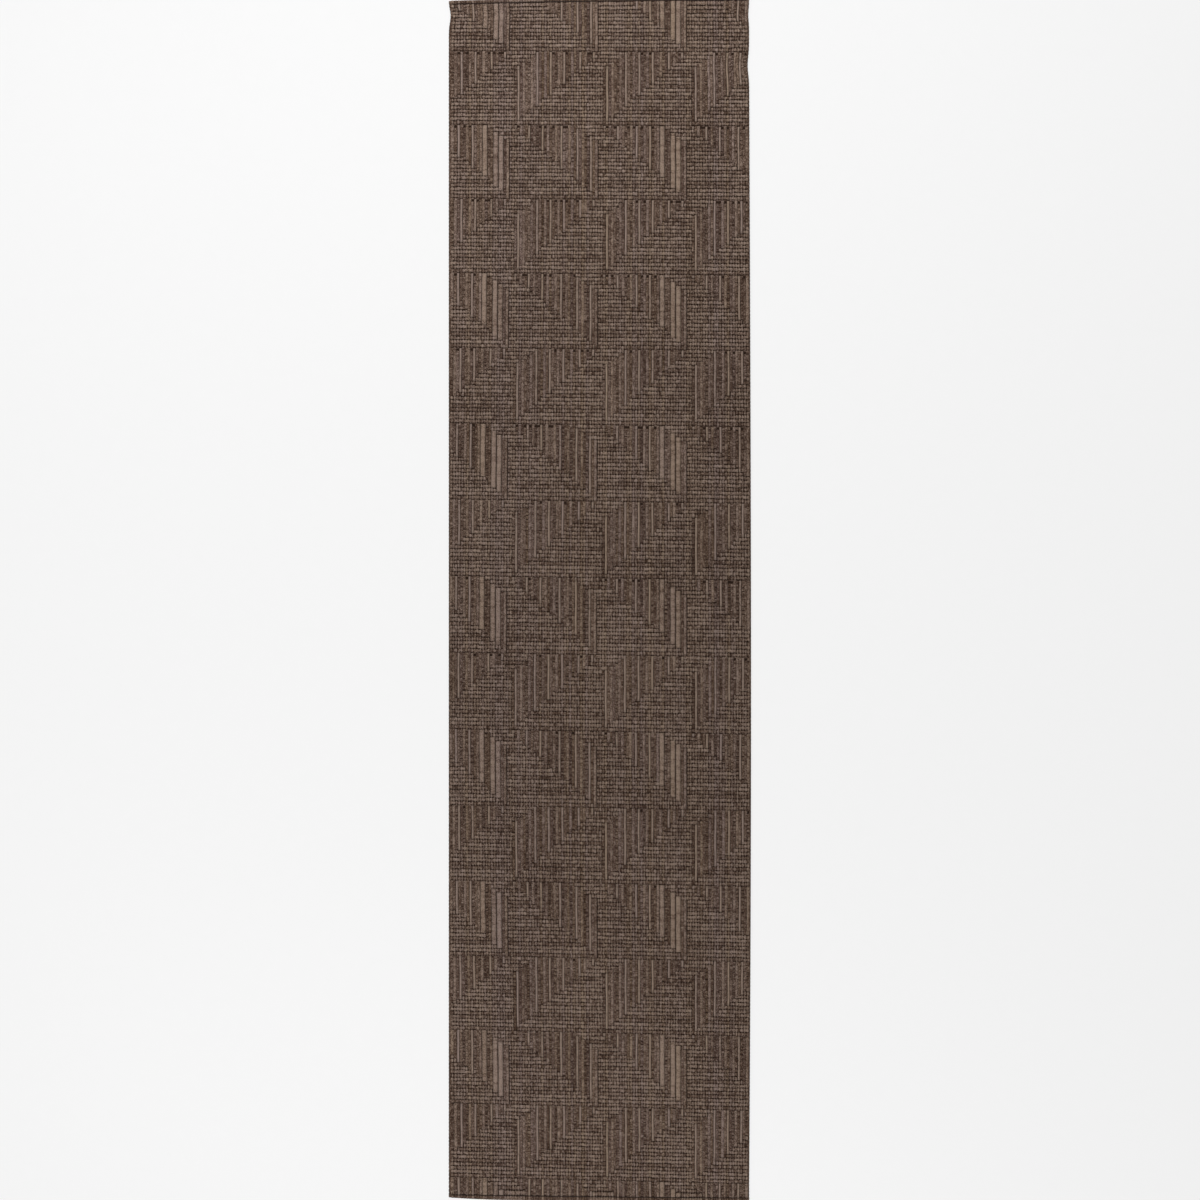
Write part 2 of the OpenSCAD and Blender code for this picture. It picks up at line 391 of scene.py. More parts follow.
def rib(strands, x, y_from, y_to, kind, tint, opened):
    """A warp yarn that floats down the length from y_from to y_to. An opened one
    dives in its first row and leaves a dark hole."""
    rows = max(1, int(round((y_from - y_to) / ROW)))
    stops = np.array(DARK_STOPS if kind in DARK_KINDS else LIGHT_STOPS)
    along = np.append((np.arange(rows)[:, None] + stops).ravel(), rows) / rows
    steps = len(along)
    y = y_to + RIB_END + along * (y_from - y_to - 2 * RIB_END)
    y = np.concatenate([[y_to], y, [y_from]])
    dip = RIB_DIP[kind] * rng.uniform(*DIP_RANGE, steps)
    at_row = np.arange(steps) % len(stops) == 0
    full = np.where(at_row, 1 - dip, rng.uniform(*FULL_RANGE, steps))
    if opened:
        full[-len(HOLE_HEIGHTS):] = HOLE_HEIGHTS
    full = np.concatenate([[RIB_END_HEIGHT], full, [RIB_END_HEIGHT]])
    height = RIB_HEIGHT[kind] * full
    half = RIB_HALF[kind] * COLUMN * (THIN_WIDTH + (1 - THIN_WIDTH) * full)
    sway = RIB_SWAY * np.sin(y * SWAY_PER_Y + x * SWAY_PER_X)
    across, up = arch(strands.ring, RIB_TOP)
    uneven = rng.normal(0, RIB_TONE) + rng.normal(0, RIB_RING_TONE, len(y))
    strands.add(
        (x + sway)[:, None] + half[:, None] * across,
        y[:, None],
        GROUND_Z - YARN_SUNK + height[:, None] * up,
        (SHADE[kind] + uneven)[:, None],
        tint,
    )


def for_rings(per_bead, steps):
    """Numbers for beads, spread over the rings of a row."""
    return np.repeat(per_bead, RINGS_PER_BEAD)[:steps]


def beads(strands, row, first, last, kind, gap):
    """A row in which the yarns of columns first to last - 1 bind one by one. gap is
    how much of a column is left open where it starts."""
    count = last - first
    steps = RINGS_PER_BEAD * count + 1
    between = np.arange(steps) % RINGS_PER_BEAD == 0
    x = column_x(first - 0.5) + np.arange(steps) * COLUMN / RINGS_PER_BEAD
    x += COLUMN * np.where(between, rng.normal(0, GAP_SPREAD, steps), 0)
    x[0] += gap * COLUMN
    size = for_rings(rng.normal(1, SIZE_SPREAD, count + 1), steps)
    bulge = np.where(between, rng.uniform(*GAP_RANGE, steps), 1.0) * size
    bulge[[0, -1]] = ROW_END_HEIGHT
    height = BEAD_HEIGHT[kind] * bulge
    half = BEAD_HALF[kind] * ROW * (FIXED_WIDTH + (1 - FIXED_WIDTH) * size)
    half *= np.where(between, GAP_WIDTH, BEAD_WIDTH)
    if gap:
        half[:2] *= OPEN_END_WIDTHS
    outward = {0: FIRST_ROW_OUT, ROWS - 1: LAST_ROW_OUT}.get(row, 0.0)
    half *= 1 + abs(outward)
    y = row_y(row + 0.5 + outward) + ROW_WAVE * np.sin(x * WAVE_PER_X + row)
    y += ROW * for_rings(rng.normal(0, BEAD_SPREAD, count + 1), steps)
    across, up = arch(strands.ring, BEAD_TOP)
    uneven = for_rings(rng.normal(0, BEAD_TONE, count + 1), steps)
    uneven += rng.normal(0, BEAD_RING_TONE, steps)
    # Painted shade: the gaps between beads are darker, most of all on their sides.
    painted_shade = between[:, None] * (GAP_SHADE + GAP_SIDES_SHADE * np.abs(across))
    tint = for_rings(COLUMN_TINT[first : last + 1], steps)
    strands.add(
        x[:, None],
        y[:, None] - half[:, None] * across,
        GROUND_Z - YARN_SUNK + height[:, None] * up,
        BEAD_SHADE[kind] + uneven[:, None] - painted_shade,
        tint[:, None],
    )


# ---------------------------------------------------------------------------
# Materials. Colours are linear, and pairs run from dark to light.
# ---------------------------------------------------------------------------
YARN_DARK, YARN_MIDDLE = (0.036, 0.0188, 0.0118, 1), (0.112, 0.0735, 0.0545, 1)
YARN_LIGHT = (0.245, 0.182, 0.145, 1)
COOL, WARM = (0.98, 0.98, 1.05, 1), (1.03, 1.01, 0.93, 1)
SHEEN = (0.75, 0.66, 0.58, 1)
WEFT = (0.052, 0.034, 0.025, 1), (0.098, 0.068, 0.052, 1)
WARP = (0.120, 0.088, 0.070, 1), (0.205, 0.155, 0.124, 1)
# Painted shade: the near-black top of the web, seen in the holes and gaps between the face yarns.
PAINTED_HOLE_SHADE = (0.020, 0.0107, 0.0068, 1)
THREAD = (0.020, 0.013, 0.010, 1), (0.052, 0.034, 0.026, 1)
CORE = (0.34, 0.26, 0.16, 1), (0.50, 0.40, 0.26, 1)
TAPE = (0.70, 0.67, 0.61, 1), (0.84, 0.82, 0.77, 1)
FLOOR = (0.135, 0.135, 0.135, 1), (0.145, 0.145, 0.145, 1)
WHITE = (1, 1, 1, 1)

ALONG_X, ALONG_Y = 0, 1


class Nodes:
    """Short names for making a material's node tree."""

    def __init__(self, name):
        self.material = bpy.data.materials.new(name)
        self.material.use_nodes = True
        self.tree = self.material.node_tree
        self.shader = self.tree.nodes["Principled BSDF"]

    def node(self, kind, **settings):
        made = self.tree.nodes.new(kind)
        for key, value in settings.items():
            setattr(made, key, value)
        return made

    def put(self, source, target):
        if isinstance(source, (int, float, tuple)):
            target.default_value = source
        else:
            self.tree.links.new(source, target)

    def surface(self, colour, roughness, normal=None):
        self.put(colour, self.shader.inputs["Base Color"])
        self.put(roughness, self.shader.inputs["Roughness"])
        if normal is not None:
            self.put(normal, self.shader.inputs["Normal"])

    def maths(self, operation, *values, clamp=False):
        made = self.node("ShaderNodeMath", operation=operation, use_clamp=clamp)
        for value, socket in zip(values, made.inputs):
            self.put(value, socket)
        return made.outputs[0]

    def mix(self, factor, a, b, blend="MIX"):
        """Mixes colours. The node's sockets for them are 6 and 7, and 2 is out."""
        made = self.node("ShaderNodeMix", data_type="RGBA", blend_type=blend)
        self.put(factor, made.inputs[0])
        self.put(a, made.inputs[6])
        self.put(b, made.inputs[7])
        return made.outputs[2]

    def layer(self, name):
        return self.node("ShaderNodeAttribute", attribute_name=name).outputs["Fac"]

    def place(self, scale=(1, 1, 1)):
        """The point in the rug's own frame, stretched by scale on each axis."""
        spot = self.node("ShaderNodeTexCoord").outputs["Object"]
        made = self.node("ShaderNodeMapping")
        self.put(spot, made.inputs["Vector"])
        made.inputs["Scale"].default_value = scale
        return made.outputs["Vector"]

    def noise(self, place, scale, detail, roughness):
        made = self.node("ShaderNodeTexNoise")
        self.put(place, made.inputs["Vector"])
        made.inputs["Scale"].default_value = scale
        made.inputs["Detail"].default_value = detail
        made.inputs["Roughness"].default_value = roughness
        return made.outputs["Fac"]

    def bands(self, place, scale, distortion):
        made = self.node("ShaderNodeTexWave", wave_type="BANDS", bands_direction="DIAGONAL")
        self.put(place, made.inputs["Vector"])
        made.inputs["Scale"].default_value = scale
        made.inputs["Distortion"].default_value = distortion
        made.inputs["Detail"].default_value = 1.5
        return made.outputs["Fac"]

    def remap(self, value, low, high):
        made = self.node("ShaderNodeMapRange")
        self.put(value, made.inputs["Value"])
        made.inputs["To Min"].default_value = low
        made.inputs["To Max"].default_value = high
        return made.outputs["Result"]

    def bump(self, height, distance, strength, under=None):
        made = self.node("ShaderNodeBump")
        made.inputs["Strength"].default_value = strength
        made.inputs["Distance"].default_value = distance
        self.put(height, made.inputs["Height"])
        if under is not None:
            self.put(under, made.inputs["Normal"])
        return made.outputs["Normal"]


def finish_cloth(shader):
    shader.inputs["Specular IOR Level"].default_value = 0.1
    shader.inputs["Sheen Weight"].default_value = 0.05
    shader.inputs["Sheen Roughness"].default_value = 0.5
    shader.inputs["Sheen Tint"].default_value = SHEEN


def yarn_material(name, along):
    """Matt twisted yarn. The vertex layers shade and tint choose the colour, with
    clouds over the cloth, flecks and fibres; the shade layer also carries painted
    shade in the gaps between beads, on the selvedges' grooves and outer sides and
    in the hems' grooves. along is the axis the fibres run on."""
    made = Nodes(name)
    shade, tint = made.layer("shade"), made.layer("tint")
    clouds = made.noise(made.place(), 3.2, 3, 0.6)
    fibre_scale = (300, 1500, 1500) if along == ALONG_X else (1500, 300, 1500)
    fibre = made.noise(made.place(fibre_scale), 1.0, 3, 0.65)
    twist = made.bands(made.place(), 260, 1.2)
    fleck = made.noise(made.place(), 380, 1, 0.6)
    level = made.maths("ADD", shade, made.remap(clouds, -0.22, 0.22))
    level = made.maths("ADD", level, made.remap(fleck, -1.10, 1.10))
    level = made.maths("ADD", level, made.remap(fibre, -0.16, 0.16))
    lower_half = made.maths("MULTIPLY", level, 2, clamp=True)
    upper_half = made.maths("MULTIPLY_ADD", level, 2, -1, clamp=True)
    colour = made.mix(lower_half, YARN_DARK, YARN_MIDDLE)
    colour = made.mix(upper_half, colour, YARN_LIGHT)
    hue = made.mix(made.remap(tint, 0, 1), COOL, WARM)
    colour = made.mix(1.0, colour, hue, "MULTIPLY")
    coarse = made.bump(twist, 0.0004, 0.7)
    relief = made.bump(fibre, 0.0003, 0.6, coarse)
    made.surface(colour, made.remap(fibre, 0.82, 0.98), relief)
    finish_cloth(made.shader)
    return made.material


def web_material():
    """The dense ground weave, seen in the gaps of the face and on the underside.
    The vertex layer weave is 0 on the weft and 1 on the warp, and a second layer is 1
    on the side under the face yarns; that side is painted near-black, as painted
    shade for the gaps and holes."""
    made = Nodes("ground_weave")
    clouds = made.noise(made.place(), 4.0, 3, 0.6)
    yarn = made.noise(made.place((60, 400, 400)), 1.0, 2, 0.6)
    fibre = made.noise(made.place((900, 900, 900)), 1.0, 3, 0.7)
    weft = made.mix(made.remap(yarn, 0.1, 0.9), *WEFT)
    warp = made.mix(made.remap(yarn, 0.1, 0.9), *WARP)
    colour = made.mix(made.remap(made.layer("weave"), 0, 1), weft, warp)
    colour = made.mix(made.remap(clouds, 0, 0.35), colour, WARP[0])
    # Painted shade: the side under the face yarns is near-black, for the gaps and holes.
    colour = made.mix(made.layer("hole_shade"), colour, PAINTED_HOLE_SHADE)
    coarse = made.bump(yarn, 0.0005, 0.6)
    relief = made.bump(fibre, 0.0003, 0.5, coarse)
    made.surface(colour, made.remap(fibre, 0.85, 1.0), relief)
    finish_cloth(made.shader)
    return made.material


def thread_material():
    made = Nodes("sewing_thread")
    twist = made.bands(made.place(), 700, 0.5)
    fibre = made.noise(made.place(), 2500, 2, 0.6)
    colour = made.mix(made.remap(twist, 0.1, 0.9), *THREAD)
    made.surface(colour, made.remap(fibre, 0.55, 0.75), made.bump(twist, 0.0001, 0.8))
    return made.material


def core_material():
    made = Nodes("undyed_yarn")
    fibre = made.noise(made.place((900, 900, 900)), 1.0, 3, 0.6)
    colour = made.mix(made.remap(fibre, 0, 1), *CORE)
    made.surface(colour, made.remap(fibre, 0.8, 0.95), made.bump(fibre, 0.0003, 0.6))
    finish_cloth(made.shader)
    return made.material


def label_material():
    made = Nodes("label_tape")
    weft = made.bands(made.place((0, 1, 0)), 900, 0.3)
    fibre = made.noise(made.place((600, 2500, 1)), 1.0, 2, 0.6)
    colour = made.mix(made.remap(fibre, 0, 1), *TAPE)
    made.surface(colour, made.remap(fibre, 0.45, 0.65), made.bump(weft, 0.0001, 0.6))
    return made.material


def finish(piece, material, slot, *nodes):
    piece.data.materials.append(material)
    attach(piece, "root")
    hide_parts(*nodes)
    return piece


# ---------------------------------------------------------------------------
# The face: ribs down the length and beaded rows across
# ---------------------------------------------------------------------------
# Where a rib starts and ends, in rows below the head side of its first row and
# past the foot side of its last: inside a band, at the head of a band by shade,
# and at the rug's own ends. The light ones start higher towards the foot.
RIB_LEAD, RIB_TRAIL = 0.02, -0.05
BAND_LEAD = {"D": -0.05, "g": -0.05, "m": 0.05}
LIGHT_LEAD, LIGHT_LEAD_LESS = 0.22, 0.17
HEAD_LEAD, FOOT_TRAIL = -0.24, 0.46

# The share of dark ribs that dive at the head of a band, and how it falls
# towards the foot.
HOLE_SHARE, HOLE_FADE = 0.5, 1.6
TINT_SPREAD, RIB_TINT_SPREAD, WIDE_WARMER = 0.28, 0.15, 0.25
GAP_BESIDE_RIB = 0.35

COLUMN_TINT = np.clip(rng.normal(0.5, TINT_SPREAD, LAST_COLUMN + 2), 0, 1)
bound, shade = cell_map()


def at_band_head(row):
    return (row - HEAD_ROWS) % BAND == 0


def add_rib(light, dark, column, top, foot):
    """The rib of a column from row top to row foot - 1."""
    kind = shade[top, column]
    if kind == "w":
        return
    wide = kind == "W"
    lead, opened = RIB_LEAD, False
    if at_band_head(top):
        lead = BAND_LEAD.get(kind, LIGHT_LEAD - LIGHT_LEAD_LESS * top / ROWS)
        share = HOLE_SHARE * (1 - top / ROWS) ** HOLE_FADE
        opened = kind in DARK_KINDS and foot > top + 1 and rng.random() < share
    if top == 0:
        lead = HEAD_LEAD
    trail = FOOT_TRAIL if foot == ROWS else RIB_TRAIL
    tint = COLUMN_TINT[column] + rng.normal(0, RIB_TINT_SPREAD) + WIDE_WARMER * wide
    strands = light if kind in LIGHT_KINDS else dark
    x = column_x(column + 0.5 * wide)
    y_from, y_to = row_y(top + lead), row_y(foot + trail)
    rib(strands, x, y_from, y_to, kind, np.clip(tint, 0, 1), opened)


def face_ribs():
    """The light and the dark ribs. Each is tied down at the head of a band."""
    light, dark = Strands(RIB_RING), Strands(RIB_RING)
    for column in range(FIRST_COLUMN, LAST_COLUMN + 1):
        for first, last in runs(np.where(bound[:, column], "H", shade[:, column])):
            if bound[first, column]:
                continue
            inside = [row for row in range(first + 1, last) if at_band_head(row)]
            stretch = [first, *inside, last]
            for top, foot in zip(stretch[:-1], stretch[1:]):
                add_rib(light, dark, column, top, foot)
    return light, dark


def face_rows():
    """The light and the dark rows of beads. In a band that turns left, a row that
    starts beside a floating rib leaves a gap there."""
    light, dark = Strands(BEAD_RING), Strands(BEAD_RING)
    for row in range(ROWS):
        kind = ROW_DRAFT[(row - HEAD_ROWS) % BAND]
        strands = light if kind == "L" else dark
        turns_left = (row - HEAD_ROWS) // BAND % 2 == 1
        for first, last in runs(bound[row, FIRST_COLUMN:]):
            start, stop = first + FIRST_COLUMN, last + FIRST_COLUMN
            if not bound[row, start]:
                continue
            beside_rib = (LEFT_LAST + 1 - start) % TILE == 0
            gap = GAP_BESIDE_RIB if turns_left and beside_rib else 0.0
            beads(strands, row, start, stop, kind, gap)
    return light, dark


light_ribs, dark_ribs = face_ribs()
light_rows, dark_rows = face_rows()
warp_yarn = yarn_material("warp_yarn", ALONG_Y)
weft_yarn = yarn_material("weft_yarn", ALONG_X)
light_floats = finish(light_ribs.make("light_floats"), warp_yarn, "light_yarn", "light_warp_floats")
dark_floats = finish(dark_ribs.make("dark_floats"), warp_yarn, "dark_yarn", "dark_warp_floats")
light_beads = finish(light_rows.make("light_beads"), weft_yarn, "light_yarn", "light_weft_rows")
dark_beads = finish(dark_rows.make("dark_beads"), weft_yarn, "dark_yarn", "dark_weft_rows")


# ---------------------------------------------------------------------------
# The web: one closed cloth, with the ground of the face above and the plain
# weave of the underside below
# ---------------------------------------------------------------------------
# How far the web stays inside the rug's sides, its relief on both sides, the
# underside's height where something lies under it, its rim, and how the tone of
# the yarns varies.
WEB_INSET = 0.004
TOP_RELIEF, BOTTOM_RELIEF = 0.00015, 0.0004
BOTTOM_OVER_TURNING, BOTTOM_OVER_LABEL = 0.00115, 0.0006
LABEL_MARGIN = 0.004
RIM_TOP, RIM_BOTTOM = 0.0045, 0.0020
PICK_TONE, END_TONE = 0.16, 0.10


def near_label(x, y):
    low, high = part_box("care_label")
    near_x = (x > low.x - LABEL_MARGIN) & (x < high.x + LABEL_MARGIN)
    return near_x & (y > low.y - LABEL_MARGIN) & (y < high.y + LABEL_MARGIN)


def web():
    half_width = WIDTH / 2 - WEB_INSET
    half_length = LENGTH / 2 - HEM / 2
    columns = 2 * (LAST_COLUMN - FIRST_COLUMN + 2) + 1
    rows = 2 * ROWS + 1
    x, y = np.meshgrid(
        np.linspace(-half_width, half_width, columns),
        np.linspace(half_length, -half_length, rows),
    )
    i, j = np.meshgrid(np.arange(columns), np.arange(rows))
    over = (i + j) % 2 * 2 - 1.0
    top = GROUND_Z + TOP_RELIEF * over
    bottom = BOTTOM_RELIEF - BOTTOM_RELIEF * over
    turned = np.abs(y) > LENGTH / 2 - HEM - TURN
    bottom = np.where(turned, BOTTOM_OVER_TURNING, bottom)
    bottom = np.where(near_label(x, y), BOTTOM_OVER_LABEL, bottom)
    rim = (i == 0) | (i == columns - 1) | (j == 0) | (j == rows - 1)
    top = np.where(rim, RIM_TOP, top)
    bottom = np.where(rim, RIM_BOTTOM, bottom)
    pick_tone, end_tone = rng.normal(0, PICK_TONE, rows), rng.normal(0, END_TONE, columns)
    crossing = 0.5 + 0.5 * over + pick_tone[j] * (over < 0) + end_tone[i] * (over > 0)
    # The top side is painted near-black, as painted shade for the gaps and holes; the bottom side
    # is not.
    layers = {
        "hole_shade": np.repeat([1.0, 0.0], rows * columns),
        "weave": np.tile(np.clip(crossing, 0, 1).ravel(), 2),
    }
    return closed_sheet("woven_web", x, y, top, bottom, layers)


woven_web = finish(
    web(), web_material(), "ground_yarn",
    "back_weave", "face_ground", "stuffer_warps", "weft_picks",
)


# ---------------------------------------------------------------------------
# Selvedges
# ---------------------------------------------------------------------------
# The wraps: points round a ring, how far they reach into the hems, rings for
# each wrap, the share of their size in the grooves, their half height and the
# height of their centre, how far they bulge and lean, their tones, and the
# painted shade in their grooves and on their outer side.
SELVEDGE_RING, SELVEDGE_INTO_HEM = 12, 0.0035
RINGS_PER_WRAP = 4
WRAP_LOW, WRAP_SHARPNESS = 0.80, 0.7
WRAP_HALF_HEIGHT, EDGE_CENTRE = THICK * 0.36, THICK * 0.41
WRAP_OUT, WRAP_LEAN = 0.0006, 0.0008
WRAP_SHADE, WRAP_SHADE_SPREAD = 0.36, 0.12
WRAP_GROOVE, WRAP_GROOVE_SHADE, OUTER_SIDE_SHADE = 0.9, 0.30, 0.25
WRAP_TINT_RANGE = (0.3, 0.7)

# The cord: points round a ring, rings, and its share of the CAD cord's radius.
CORD_RING, CORD_STEPS, CORD_TIGHT = 8, 400, 0.7
CORD_SHADE, MIDDLE_TONE = 0.9, 0.5


def selvedge(side):
    """Yarn wrapped over the cord at one side, with a ridge for every row."""
    strands = Strands(SELVEDGE_RING)
    y_end = LENGTH / 2 - HEM + SELVEDGE_INTO_HEM
    steps = int(2 * y_end / ROW) * RINGS_PER_WRAP + 1
    y = np.linspace(-y_end, y_end, steps)[:, None]
    wave = np.abs(np.sin(np.pi * (y - row_y(0)) / ROW)) ** WRAP_SHARPNESS
    ridge = WRAP_LOW + (1 - WRAP_LOW) * wave
    across, up = oval(SELVEDGE_RING, EDGE / 2, WRAP_HALF_HEIGHT)
    centre = side * (WIDTH / 2 - EDGE / 2)
    x = centre + ridge * across + side * WRAP_OUT * (ridge - WRAP_LOW)
    lean = WRAP_LEAN * side * up / THICK
    wraps = rng.normal(WRAP_SHADE, WRAP_SHADE_SPREAD, steps // RINGS_PER_WRAP + 1)
    shade = np.repeat(wraps, RINGS_PER_WRAP)[:steps, None]
    outer = np.clip(side * across / (EDGE / 2), 0, 1)
    # Painted shade: darker in the grooves between wraps and towards the outer side.
    shade = shade - WRAP_GROOVE_SHADE * (ridge < WRAP_GROOVE) - OUTER_SIDE_SHADE * outer
    tint = rng.uniform(*WRAP_TINT_RANGE, (steps, 1))
    strands.add(x, y + lean, EDGE_CENTRE + ridge * up, shade, tint)
    return strands.make("selvedge_wrap_left" if side < 0 else "selvedge_wrap_right")


def edge_cord(side):
    """The cord sealed inside a selvedge."""
    strands = Strands(CORD_RING)
    y = np.linspace(-LENGTH / 2 + HEM, LENGTH / 2 - HEM, CORD_STEPS)
    radius = extent("selvedge_cord_left", 2) / 2 * CORD_TIGHT
    across, up = oval(CORD_RING, radius, radius)
    x = side * (WIDTH / 2 - EDGE / 2) + across
    strands.add(x, y[:, None], EDGE_CENTRE + up, CORD_SHADE, MIDDLE_TONE)
    return strands.make("edge_cord_left" if side < 0 else "edge_cord_right")


# ---------------------------------------------------------------------------
# Hems
# ---------------------------------------------------------------------------
# The roll: its rings, how square it is, its half height, the grooves between
# its ribs, how its corners round off, its tones, and the painted shade in its grooves.
HEM_RING, RINGS_PER_COLUMN = 14, 4
HEM_SQUARE = 0.9
HEM_HALF_HEIGHT = THICK * 0.48
GROOVE_DEPTH = 0.14
CORNER_ROUND, CORNER_REACH, CORNER_BACK = 0.25, 0.008, 0.0015
HEM_SHADE = {**SHADE, "w": 0.6}
HEAD_HEM_SHADE, FOOT_HEM_SHADE = 0.17, 0.12
HEM_CONTRAST, HEM_GROOVE_SHADE = 0.6, 0.45

# A turned rib: its section in half columns and metres, its rings, how much of a
# column it fills, and where it starts and ends.
TURNING_ACROSS = np.array([-1, -0.95, -0.5, 0.5, 0.95, 1.0])
TURNING_UP = np.array([0.0010, 0.0006, 0.0, 0.0, 0.0006, 0.0010])
TURNING_STEPS, TURNING_FILL = 9, 0.495
TURNING_INNER, TURNING_OUTER = 0.001, 0.0002
TURNING_Z, TURNING_RELIEF, TURNING_SHADE = 0.0001, 0.00004, 0.30


def hem_roll(side):
    """The end of the cloth rolled over; the ribs of the face run on round it."""
    strands = Strands(HEM_RING)
    row = 0 if side > 0 else ROWS - 1
    steps = RINGS_PER_COLUMN * (LAST_COLUMN + 2) + 1
    x = np.linspace(-WIDTH / 2, WIDTH / 2, steps)
    in_columns = (x + WIDTH / 2) / COLUMN
    column = np.clip(np.round(in_columns).astype(int), FIRST_COLUMN, LAST_COLUMN)
    between = 1 - np.abs(np.cos(np.pi * in_columns))
    near_corner = np.clip(1 - (WIDTH / 2 - np.abs(x)) / CORNER_REACH, 0, 1)
    corner = 1 - CORNER_ROUND * near_corner**2
    size = ((1 - GROOVE_DEPTH * between) * corner)[:, None]
    across, up = oval(HEM_RING, HEM / 2, HEM_HALF_HEIGHT, HEM_SQUARE)
    centre = LENGTH / 2 - HEM / 2 - CORNER_BACK * (1 - corner[:, None])
    own = np.array([HEM_SHADE[kind] for kind in shade[row]])[column]
    base = HEAD_HEM_SHADE if side > 0 else FOOT_HEM_SHADE
    # Painted shade: darker in the grooves between the roll's ribs.
    level = base + HEM_CONTRAST * own - HEM_GROOVE_SHADE * between
    strands.add(
        x[:, None],
        side * centre - across * size,
        THICK * 0.5 + up * size,
        level[:, None],
        COLUMN_TINT[column][:, None],
    )
    return strands.make("hem_roll_head" if side > 0 else "hem_roll_foot")


def hem_turning(side):
    """The web turned under an end, flush with the underside, in ribs like the face."""
    strands = Strands(len(TURNING_ACROSS))
    inner = LENGTH / 2 - HEM - TURN + TURNING_INNER
    outer = LENGTH / 2 - HEM - TURNING_OUTER
    for column in range(FIRST_COLUMN, LAST_COLUMN + 1):
        y = side * np.linspace(inner, outer, TURNING_STEPS)
        if side < 0:
            y = y[::-1]
        x = column_x(column) - TURNING_ACROSS * COLUMN * TURNING_FILL
        crossing = 1 - (np.arange(TURNING_STEPS) + column) % 2
        z = TURNING_Z + TURNING_UP + TURNING_RELIEF * crossing[:, None]
        strands.add(x, y[:, None], z, TURNING_SHADE, COLUMN_TINT[column])
    return strands.make("hem_turning_head" if side > 0 else "hem_turning_foot")


# ---------------------------------------------------------------------------
# Sewing and label
# ---------------------------------------------------------------------------
# Lockstitches, then bar tacks, then the label and the stitches that hold it.
THREAD_RING = 6
STITCH_PITCH, STITCH_RADIUS = 0.006, 0.00045
STITCH_START, STITCH_LENGTH, STITCH_SPREAD = 0.08, 0.78, 0.0001
NEEDLE_Z, NEEDLE_RISE = GROUND_Z + 0.0003, 0.0009
BOBBIN_Z, BOBBIN_RISE = 0.0007, -0.0002
TACKS, TACK_PITCH, TACK_RADIUS = 9, 0.0012, 0.0003
TACK_INSET, TACK_LENGTH, TACK_Z = 0.001, 0.003, 0.0005
LABEL_GRID = (41, 25)
LABEL_FOLD, LABEL_FOLD_SHARE = 0.00008, 0.08
LABEL_CURL, CURL_ACROSS, CURL_ALONG = 0.00006, 9, 7
LABEL_LIFT = 0.00008
LABEL_STITCH, LABEL_STITCH_SHARE, LABEL_THREAD_RADIUS = 0.004, 0.7, 0.00015
LABEL_THREAD_INSET, LABEL_THREAD_Z, LABEL_THREAD_RISE = 0.0004, 0.00022, -0.00005


def thread_along_x(strands, x, y, z, radius):
    """A piece of thread that runs along X."""
    across, up = oval(THREAD_RING, radius, radius)
    strands.add(x[:, None], y - across, z[:, None] + up, MIDDLE_TONE, MIDDLE_TONE)


def stitch_row(name, node, z, rise):
    """Lockstitches in a row across the rug, each a short arch of thread."""
    strands = Strands(THREAD_RING)
    low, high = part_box(node)
    y = (low.y + high.y) / 2
    t = np.linspace(0, 1, 7)
    arched = z + rise * np.sin(np.pi * t)
    for k in range(int((high.x - low.x) / STITCH_PITCH)):
        x = low.x + (k + STITCH_START + STITCH_LENGTH * t) * STITCH_PITCH
        thread_along_x(strands, x, y + rng.normal(0, STITCH_SPREAD), arched, STITCH_RADIUS)
    return strands.make(name)


def corner_tacks():
    """Bar tacks: a few close stitches across each turned-under corner."""
    strands = Strands(THREAD_RING)
    low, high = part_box("corner_tacks")
    t = np.linspace(-0.5, 0.5, 5)
    z = np.full(len(t), TACK_Z)
    for side_x in (-1, 1):
        for side_y in (-1, 1):
            for k in range(TACKS):
                x = side_x * (high.x - TACK_INSET) + TACK_LENGTH * t
                y = side_y * (high.y - TACK_PITCH * k)
                thread_along_x(strands, x, y, z, TACK_RADIUS)
    return strands.make("bar_tacks")


def label():
    """The blank label, a strip of tape with turned ends and a slight curl."""
    low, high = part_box("care_label")
    across, along = LABEL_GRID
    x, y = np.meshgrid(
        np.linspace(low.x, high.x, across),
        np.linspace(high.y, low.y, along),
    )
    u = (x - low.x) / (high.x - low.x)
    v = (y - low.y) / (high.y - low.y)
    folded = (u < LABEL_FOLD_SHARE) | (u > 1 - LABEL_FOLD_SHARE)
    curl = LABEL_CURL * np.sin(u * CURL_ACROSS) * np.sin(v * CURL_ALONG)
    bottom = low.z + LABEL_LIFT + curl - np.where(folded, LABEL_FOLD, 0.0)
    return closed_sheet("blank_label", x, y, high.z + curl, bottom)


def label_thread():
    """Stitches down the two short sides of the label."""
    strands = Strands(THREAD_RING)
    low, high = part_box("label_stitches")
    across, up = oval(THREAD_RING, LABEL_THREAD_RADIUS, LABEL_THREAD_RADIUS)
    t = np.linspace(0, 1, 5)[:, None]
    z = LABEL_THREAD_Z + LABEL_THREAD_RISE * np.sin(np.pi * t) + up
    count = int((high.y - low.y) / LABEL_STITCH) + 1
    for x in (low.x + LABEL_THREAD_INSET, high.x - LABEL_THREAD_INSET):
        for k in range(count):
            y = low.y + (k + LABEL_STITCH_SHARE * t) * LABEL_STITCH
            strands.add(x + across, y, z, MIDDLE_TONE, MIDDLE_TONE)
    return strands.make("label_thread")


def sew(name, word, z, rise, node, material):
    piece = stitch_row(name + word, node + word, z, rise)
    finish(piece, material, "thread", node + word)


